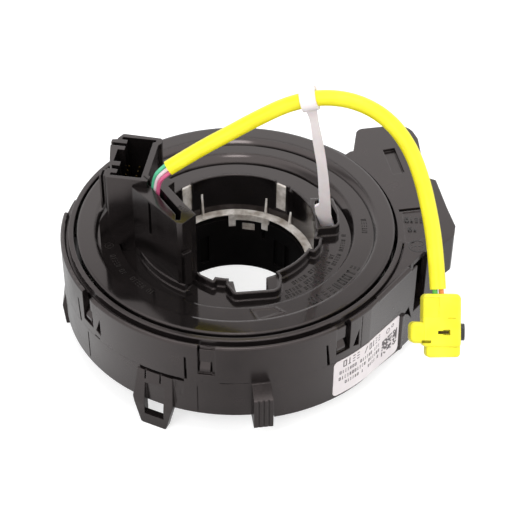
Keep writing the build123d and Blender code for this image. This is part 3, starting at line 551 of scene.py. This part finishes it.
# left and right end, middle height, and the tokens' size
label_rows = (
    (-15.6, -7.2, 20.1, 2.6, 1.0, 0.34, 20),
    (-4.6, 1.8, 19.9, 2.4, 0.85, 0.32, 20),
    (-16.8, -9.2, 16.9, 1.3, 0.45, 0.24, 9),
    (-8.6, 1.8, 16.7, 1.3, 0.45, 0.24, 7),
    (-17.0, 1.8, 14.3, 1.35, 0.45, 0.26, 12),
    (-14.6, -6.0, 11.8, 1.2, 0.45, 0.24, 7),
    (-4.8, 1.8, 11.9, 1.2, 0.45, 0.24, 5),
)
print_bars = [
    bar
    for left, right_end, height, *size in label_rows
    for bar in straight_row(left, height, 0, right_end - left, *size)
]
# a slanted stroke between the two rows at the top
print_bars.append((-6.0, 20.0, 0, 0.34, 2.7, -25))
# a plain field of squares at the right, and two rings over it
field_left, field_low, cell = 2.7, 9.9, 0.6
field_columns, field_rows = 14, 11
for i in range(field_columns):
    for j in range(field_rows):
        if (i * 73 + j * 151 + i * j * 37 + i * i * 11) % 97 < 58:
            x, y = field_left + cell * (i + 0.5), field_low + cell * (j + 0.5)
            print_bars.append((x, y, 0, cell, cell, 0))
for x, y, radius in ((5.7, 19.0, 0.85), (8.2, 19.4, 0.55)):
    print_bars += dial(x, y, 0, radius, range(0, 360, 36), 0.27, radius * 0.8)
label_print = strokes("label_print", print_bars, print_thick)
for vertex in label_print.data.vertices:
    along_mm, height_mm, lift_mm = (c / MM for c in vertex.co)
    outwards = label_thick + print_thick + lift_mm
    if along_mm < -sqrt(drum_r**2 - wall_r**2):
        outwards += sqrt(drum_r**2 - along_mm**2) - wall_r
    place = wall_out * (wall_r + outwards) + wall_along * along_mm + Vector((0, 0, height_mm))
    vertex.co = place * MM
bpy.ops.object.mode_set(mode="EDIT")
bpy.ops.mesh.select_all(action="SELECT")
bpy.ops.mesh.normals_make_consistent(inside=False)
bpy.ops.object.mode_set(mode="OBJECT")
finish_piece(label_print, label_ink, "housing")

# ---------------------------------------------------------------- floor
floor_side, floor_z = 6.0, -0.2 * MM
bpy.ops.mesh.primitive_plane_add(size=floor_side, location=(0, 0, floor_z))
floor = bpy.context.object
floor.name = "floor"


def paper_white():
    """Seamless paper: pale to the eye and still showing the shadow; in reflections it carries a
    painted shadow and painted light.
    """
    material, tree, surface = blank("Paper, white, seamless")
    rays = add(tree, "ShaderNodeLightPath")
    # to the eye: lit, and lifted almost to white
    lit = add(tree, "ShaderNodeBsdfDiffuse", {"Color": linear("#c4c4c4")})
    lift = add(tree, "ShaderNodeEmission", {"Color": white, "Strength": 0.62})
    eye = add(
        tree, "ShaderNodeAddShader", (), {0: lit.outputs["BSDF"], 1: lift.outputs["Emission"]}
    )
    # to a mirroring face: painted shadow, dim under the object, straight before it and behind it,
    # and painted light, brighter at its two front corners
    place = add(tree, "ShaderNodeTexCoord").outputs["Object"]
    away = add(tree, "ShaderNodeVectorMath", (), {0: place}, operation="LENGTH").outputs["Value"]
    parts = add(tree, "ShaderNodeSeparateXYZ", (), {0: place}).outputs
    aside = add(tree, "ShaderNodeMath", (), {0: parts["X"]}, operation="ABSOLUTE").outputs["Value"]
    # painted shadow where the object stands and behind it, painted light to each side, only in what
    # mirroring faces see
    painted_shadow_under = ramp(tree, away, 0.04, 0.066, 0.1, 1.0)
    side = ramp(tree, aside, 0.0, 0.066, 0.75, 1.5)
    painted_shade_behind = ramp(tree, parts["Y"], -0.03, 0.0, 1.0, 0.55)
    level = combine(tree, "MULTIPLY", painted_shadow_under, combine(tree, "MULTIPLY", side, painted_shade_behind))
    painted_shade_glow = add(tree, "ShaderNodeEmission", {"Color": white}, {"Strength": level})
    # to all other rays: plain pale paper
    plain = add(tree, "ShaderNodeBsdfDiffuse", {"Color": linear("#d9d9d9")})
    either = add(
        tree,
        "ShaderNodeMixShader",
        (),
        {
            "Fac": rays.outputs["Is Glossy Ray"],
            1: plain.outputs["BSDF"],
            2: painted_shade_glow.outputs["Emission"],
        },
    )
    mix = add(
        tree,
        "ShaderNodeMixShader",
        (),
        {
            "Fac": rays.outputs["Is Camera Ray"],
            1: either.outputs["Shader"],
            2: eye.outputs["Shader"],
        },
    )
    tree.links.new(mix.outputs["Shader"], surface)
    return material


floor.data.materials.append(paper_white())

# ---------------------------------------------------------------- light
world = bpy.data.worlds.new("studio")
bpy.context.scene.world = world
world.use_nodes = True
studio = world.node_tree
studio.nodes.clear()
rays = add(studio, "ShaderNodeLightPath")
towards = add(studio, "ShaderNodeTexCoord").outputs["Generated"]
height = add(studio, "ShaderNodeSeparateXYZ", (), {0: towards}).outputs["Z"]
# the polished faces mirror a softbox behind the object, up to about 42 degrees, a pale one
# overhead and a small lamp that stands a little forward of straight up
softbox = ramp(studio, height, 0.645, 0.7, 1.85, 1.0)
overhead = ramp(studio, height, 0.76, 0.88, 0.0, 1.6)
spot_tilt, spot_outer, spot_inner = radians(11.0), radians(7.0), radians(4.5)
nearness = add(
    studio,
    "ShaderNodeVectorMath",
    {1: (0.0, -sin(spot_tilt), cos(spot_tilt))},
    {0: towards},
    operation="DOT_PRODUCT",
).outputs["Value"]
spot = ramp(studio, nearness, cos(spot_outer), cos(spot_inner), 0.0, 9.0)
mirrored = combine(studio, "ADD", softbox, combine(studio, "ADD", overhead, spot))
# the eye sees it white, and the diffuse light is weaker
plain = ramp(studio, rays.outputs["Is Camera Ray"], 0.0, 1.0, 0.55, 1.0)
level = add(
    studio,
    "ShaderNodeMix",
    (),
    {0: rays.outputs["Is Glossy Ray"], 2: plain, 3: mirrored},
    data_type="FLOAT",
)
backdrop = add(
    studio, "ShaderNodeBackground", {"Color": white}, {"Strength": level.outputs[0]}
)
add(studio, "ShaderNodeOutputWorld", (), {"Surface": backdrop.outputs["Background"]})

lamp_aim = Vector((0, 0, 30)) * MM


def soft_lamp(name, place, size, power):
    """A square softbox that lights the object but is not mirrored by it."""
    data = bpy.data.lights.new(name, "AREA")
    data.size = size
    data.energy = power
    lamp = bpy.data.objects.new(name, data)
    bpy.context.collection.objects.link(lamp)
    lamp.location = place
    lamp.rotation_euler = (lamp_aim - Vector(place)).to_track_quat("-Z", "Y").to_euler()
    lamp.visible_glossy = False


soft_lamp("key", (-0.3, -0.8, 0.85), 0.7, 8.0)
soft_lamp("fill", (0.8, -0.3, 0.6), 0.7, 4.0)
soft_lamp("back", (0.1, 0.9, 0.85), 1.5, 4.5)
soft_lamp("top", (0.0, -0.1, 1.1), 0.4, 2.5)
